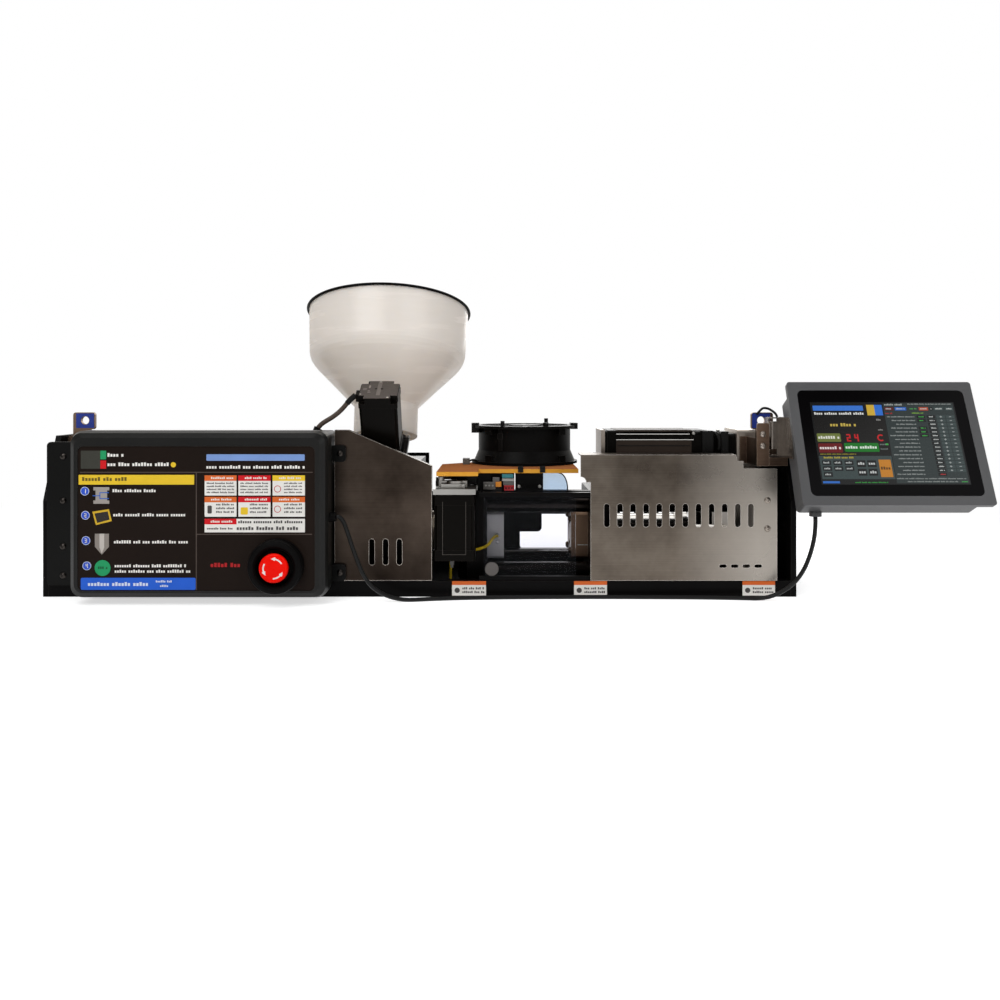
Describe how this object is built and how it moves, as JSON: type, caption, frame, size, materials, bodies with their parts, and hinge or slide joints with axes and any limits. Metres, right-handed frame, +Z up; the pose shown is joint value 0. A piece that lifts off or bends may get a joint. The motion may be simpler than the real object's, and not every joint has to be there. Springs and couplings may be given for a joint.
{
  "type": "desktop injection moulding machine",
  "caption": "Bench-top plunger injection moulding machine: pellet hopper, electric injection and clamp drives, mould space with sliding guard, control box and swivelling touch display.",
  "frame": {"origin": "middle of the base pan's underside, under the machine's axis", "axes": "+X along the machine from the injection drive to the clamp, +Y from the operator to the rear, +Z up"},
  "size_m": [1.334, 0.4349, 0.4652],
  "materials": {
    "black_steel": "satin black powder coat",
    "stainless": "brushed stainless sheet",
    "enclosure_black": "fine textured moulding",
    "panel_print": "printed film with fields of colour",
    "estop_red": "semi-gloss",
    "black_plastic": "satin",
    "hopper_plastic": "milky translucent moulding",
    "rubber_black": "soft edging",
    "motor_black": "satin black with bare laminations",
    "aluminium": "milled",
    "steel_bright": "ground",
    "steel_dark": "oiled",
    "heater_mica": "banded sheath",
    "mould_brown": "heat-tinted steel",
    "belt_rubber": "moulded",
    "clear_guard": "clear sheet",
    "board_tan": "bonded board with pale edge",
    "knob_grey": "satin",
    "hmi_grey": "satin dark grey",
    "hmi_screen": "gloss black with lit fields",
    "cable_black": "smooth sheath",
    "cable_brown": "smooth sheath"
  },
  "bodies": {
    "frame": {"base_pan": "black_steel", "end_plates": "black_steel", "rear_cover": "black_steel", "injection_cover": "stainless", "clamp_cover": "stainless", "lifting_lugs": "steel_bright", "cover_screws": "steel_dark", "enclosure_box": "enclosure_black", "enclosure_lid": "enclosure_black", "panel_overlay": "panel_print", "estop_collar": "black_plastic", "cable_gland": "black_plastic", "hopper": "hopper_plastic", "hopper_rim": "rubber_black", "feed_block": "black_steel", "hopper_motor": "motor_black", "hopper_motor_bracket": "aluminium", "barrel": "steel_dark", "heater_bands": "heater_mica", "nozzle": "steel_dark", "guide_rods": "steel_bright", "injection_plates": "aluminium", "injection_motor": "motor_black", "valve_motor": "motor_black", "valve_motor_plate": "aluminium", "fixed_platen": "black_steel", "tie_bars": "steel_bright", "fixed_mould_half": "steel_bright", "thrust_plate": "aluminium", "clamp_motor": "motor_black", "timing_belt": "belt_rubber", "pulley_cover": "black_steel", "guard_tracks": "black_steel", "fan_board": "board_tan", "fan_bracket": "black_steel", "fan_housing": "black_plastic", "hmi_bracket": "stainless", "hmi_cable": "cable_black", "hopper_motor_lead": "cable_brown"},
    "clamp": {"moving_platen": "mould_brown", "moving_mould_half": "mould_brown", "clamp_ram": "steel_dark"},
    "clamp_screw": {"clamp_screw": "steel_bright", "screw_pulley": "aluminium"},
    "motor_pulley": {"motor_pulley": "aluminium"},
    "plunger": {"injection_plunger": "steel_bright", "plunger_carriage": "steel_dark"},
    "injection_screw": {"injection_screw": "steel_bright"},
    "feed_auger": {"feed_auger": "steel_bright"},
    "valve_crank": {"valve_crank": "aluminium"},
    "valve_link": {"valve_link": "steel_dark"},
    "valve_lever": {"valve_lever": "aluminium"},
    "fan_rotor": {"fan_rotor": "black_plastic"},
    "guard_door": {"guard_door": "clear_guard", "guard_knob": "knob_grey"},
    "estop_plunger": {"estop_plunger": "knob_grey"},
    "estop_head": {"estop_head": "estop_red"},
    "display": {"hmi_arm": "stainless", "hmi_housing": "hmi_grey", "hmi_glass": "hmi_screen"}
  },
  "joints": [
    {"name": "clamp_slide", "type": "slide", "parent": "frame", "child": "clamp", "axis": [-1, 0, 0], "range_m": [0, 0.105]},
    {"name": "clamp_screw_spin", "type": "hinge", "parent": "frame", "child": "clamp_screw", "pos_m": [0.3438, 0, 0.0725], "axis": [1, 0, 0], "range_deg": [-10, 1900]},
    {"name": "motor_pulley_spin", "type": "hinge", "parent": "frame", "child": "motor_pulley", "pos_m": [0.5045, -0.05, 0.199], "axis": [1, 0, 0], "range_deg": [-10, 3790]},
    {"name": "plunger_slide", "type": "slide", "parent": "frame", "child": "plunger", "axis": [1, 0, 0], "range_m": [0, 0.11]},
    {"name": "injection_screw_spin", "type": "hinge", "parent": "frame", "child": "injection_screw", "pos_m": [-0.44, 0, 0.0725], "axis": [1, 0, 0], "range_deg": [-10, 1990]},
    {"name": "feed_auger_spin", "type": "hinge", "parent": "frame", "child": "feed_auger", "pos_m": [-0.06, -0.138, 0.3], "axis": [0, -0.454, 0.891], "continuous": true},
    {"name": "valve_turn", "type": "hinge", "parent": "frame", "child": "valve_crank", "pos_m": [0.05, -0.12, 0.16], "axis": [0, 0, 1], "range_deg": [-60, 0]},
    {"name": "valve_link_turn", "type": "hinge", "parent": "valve_crank", "child": "valve_link", "pos_m": [0.028, -0.12, 0.168], "axis": [0, 0, 1], "range_deg": [0, 60]},
    {"name": "valve_lever_turn", "type": "hinge", "parent": "frame", "child": "valve_lever", "pos_m": [0.05, 0, 0.16], "axis": [0, 0, 1], "range_deg": [-60, 0]},
    {"name": "fan_spin", "type": "hinge", "parent": "frame", "child": "fan_rotor", "pos_m": [0.1565, 0.033, 0.2], "axis": [0, 0, 1], "continuous": true},
    {"name": "guard_slide", "type": "slide", "parent": "frame", "child": "guard_door", "axis": [1, 0, 0], "range_m": [0, 0.09]},
    {"name": "estop_press", "type": "slide", "parent": "frame", "child": "estop_plunger", "axis": [0, 1, 0], "range_m": [0, 0.005], "stiffness_N_per_m": 1000},
    {"name": "estop_twist", "type": "hinge", "parent": "estop_plunger", "child": "estop_head", "pos_m": [-0.192, -0.2128, 0.057], "axis": [0, -1, 0], "range_deg": [-45, 0], "stiffness_Nm_per_rad": 0.05},
    {"name": "display_swivel", "type": "hinge", "parent": "frame", "child": "display", "pos_m": [0.5205, -0.13, 0.2], "axis": [0, 0, 1], "range_deg": [-45, 15]}
  ],
  "couplings": [
    {"joint": "clamp_screw_spin", "follows": "clamp_slide", "rad_per_m": 314.16},
    {"joint": "motor_pulley_spin", "follows": "clamp_slide", "rad_per_m": 628.32},
    {"joint": "injection_screw_spin", "follows": "plunger_slide", "rad_per_m": 314.16},
    {"joint": "valve_link_turn", "follows": "valve_turn", "ratio": -1},
    {"joint": "valve_lever_turn", "follows": "valve_turn", "ratio": 1}
  ]
}
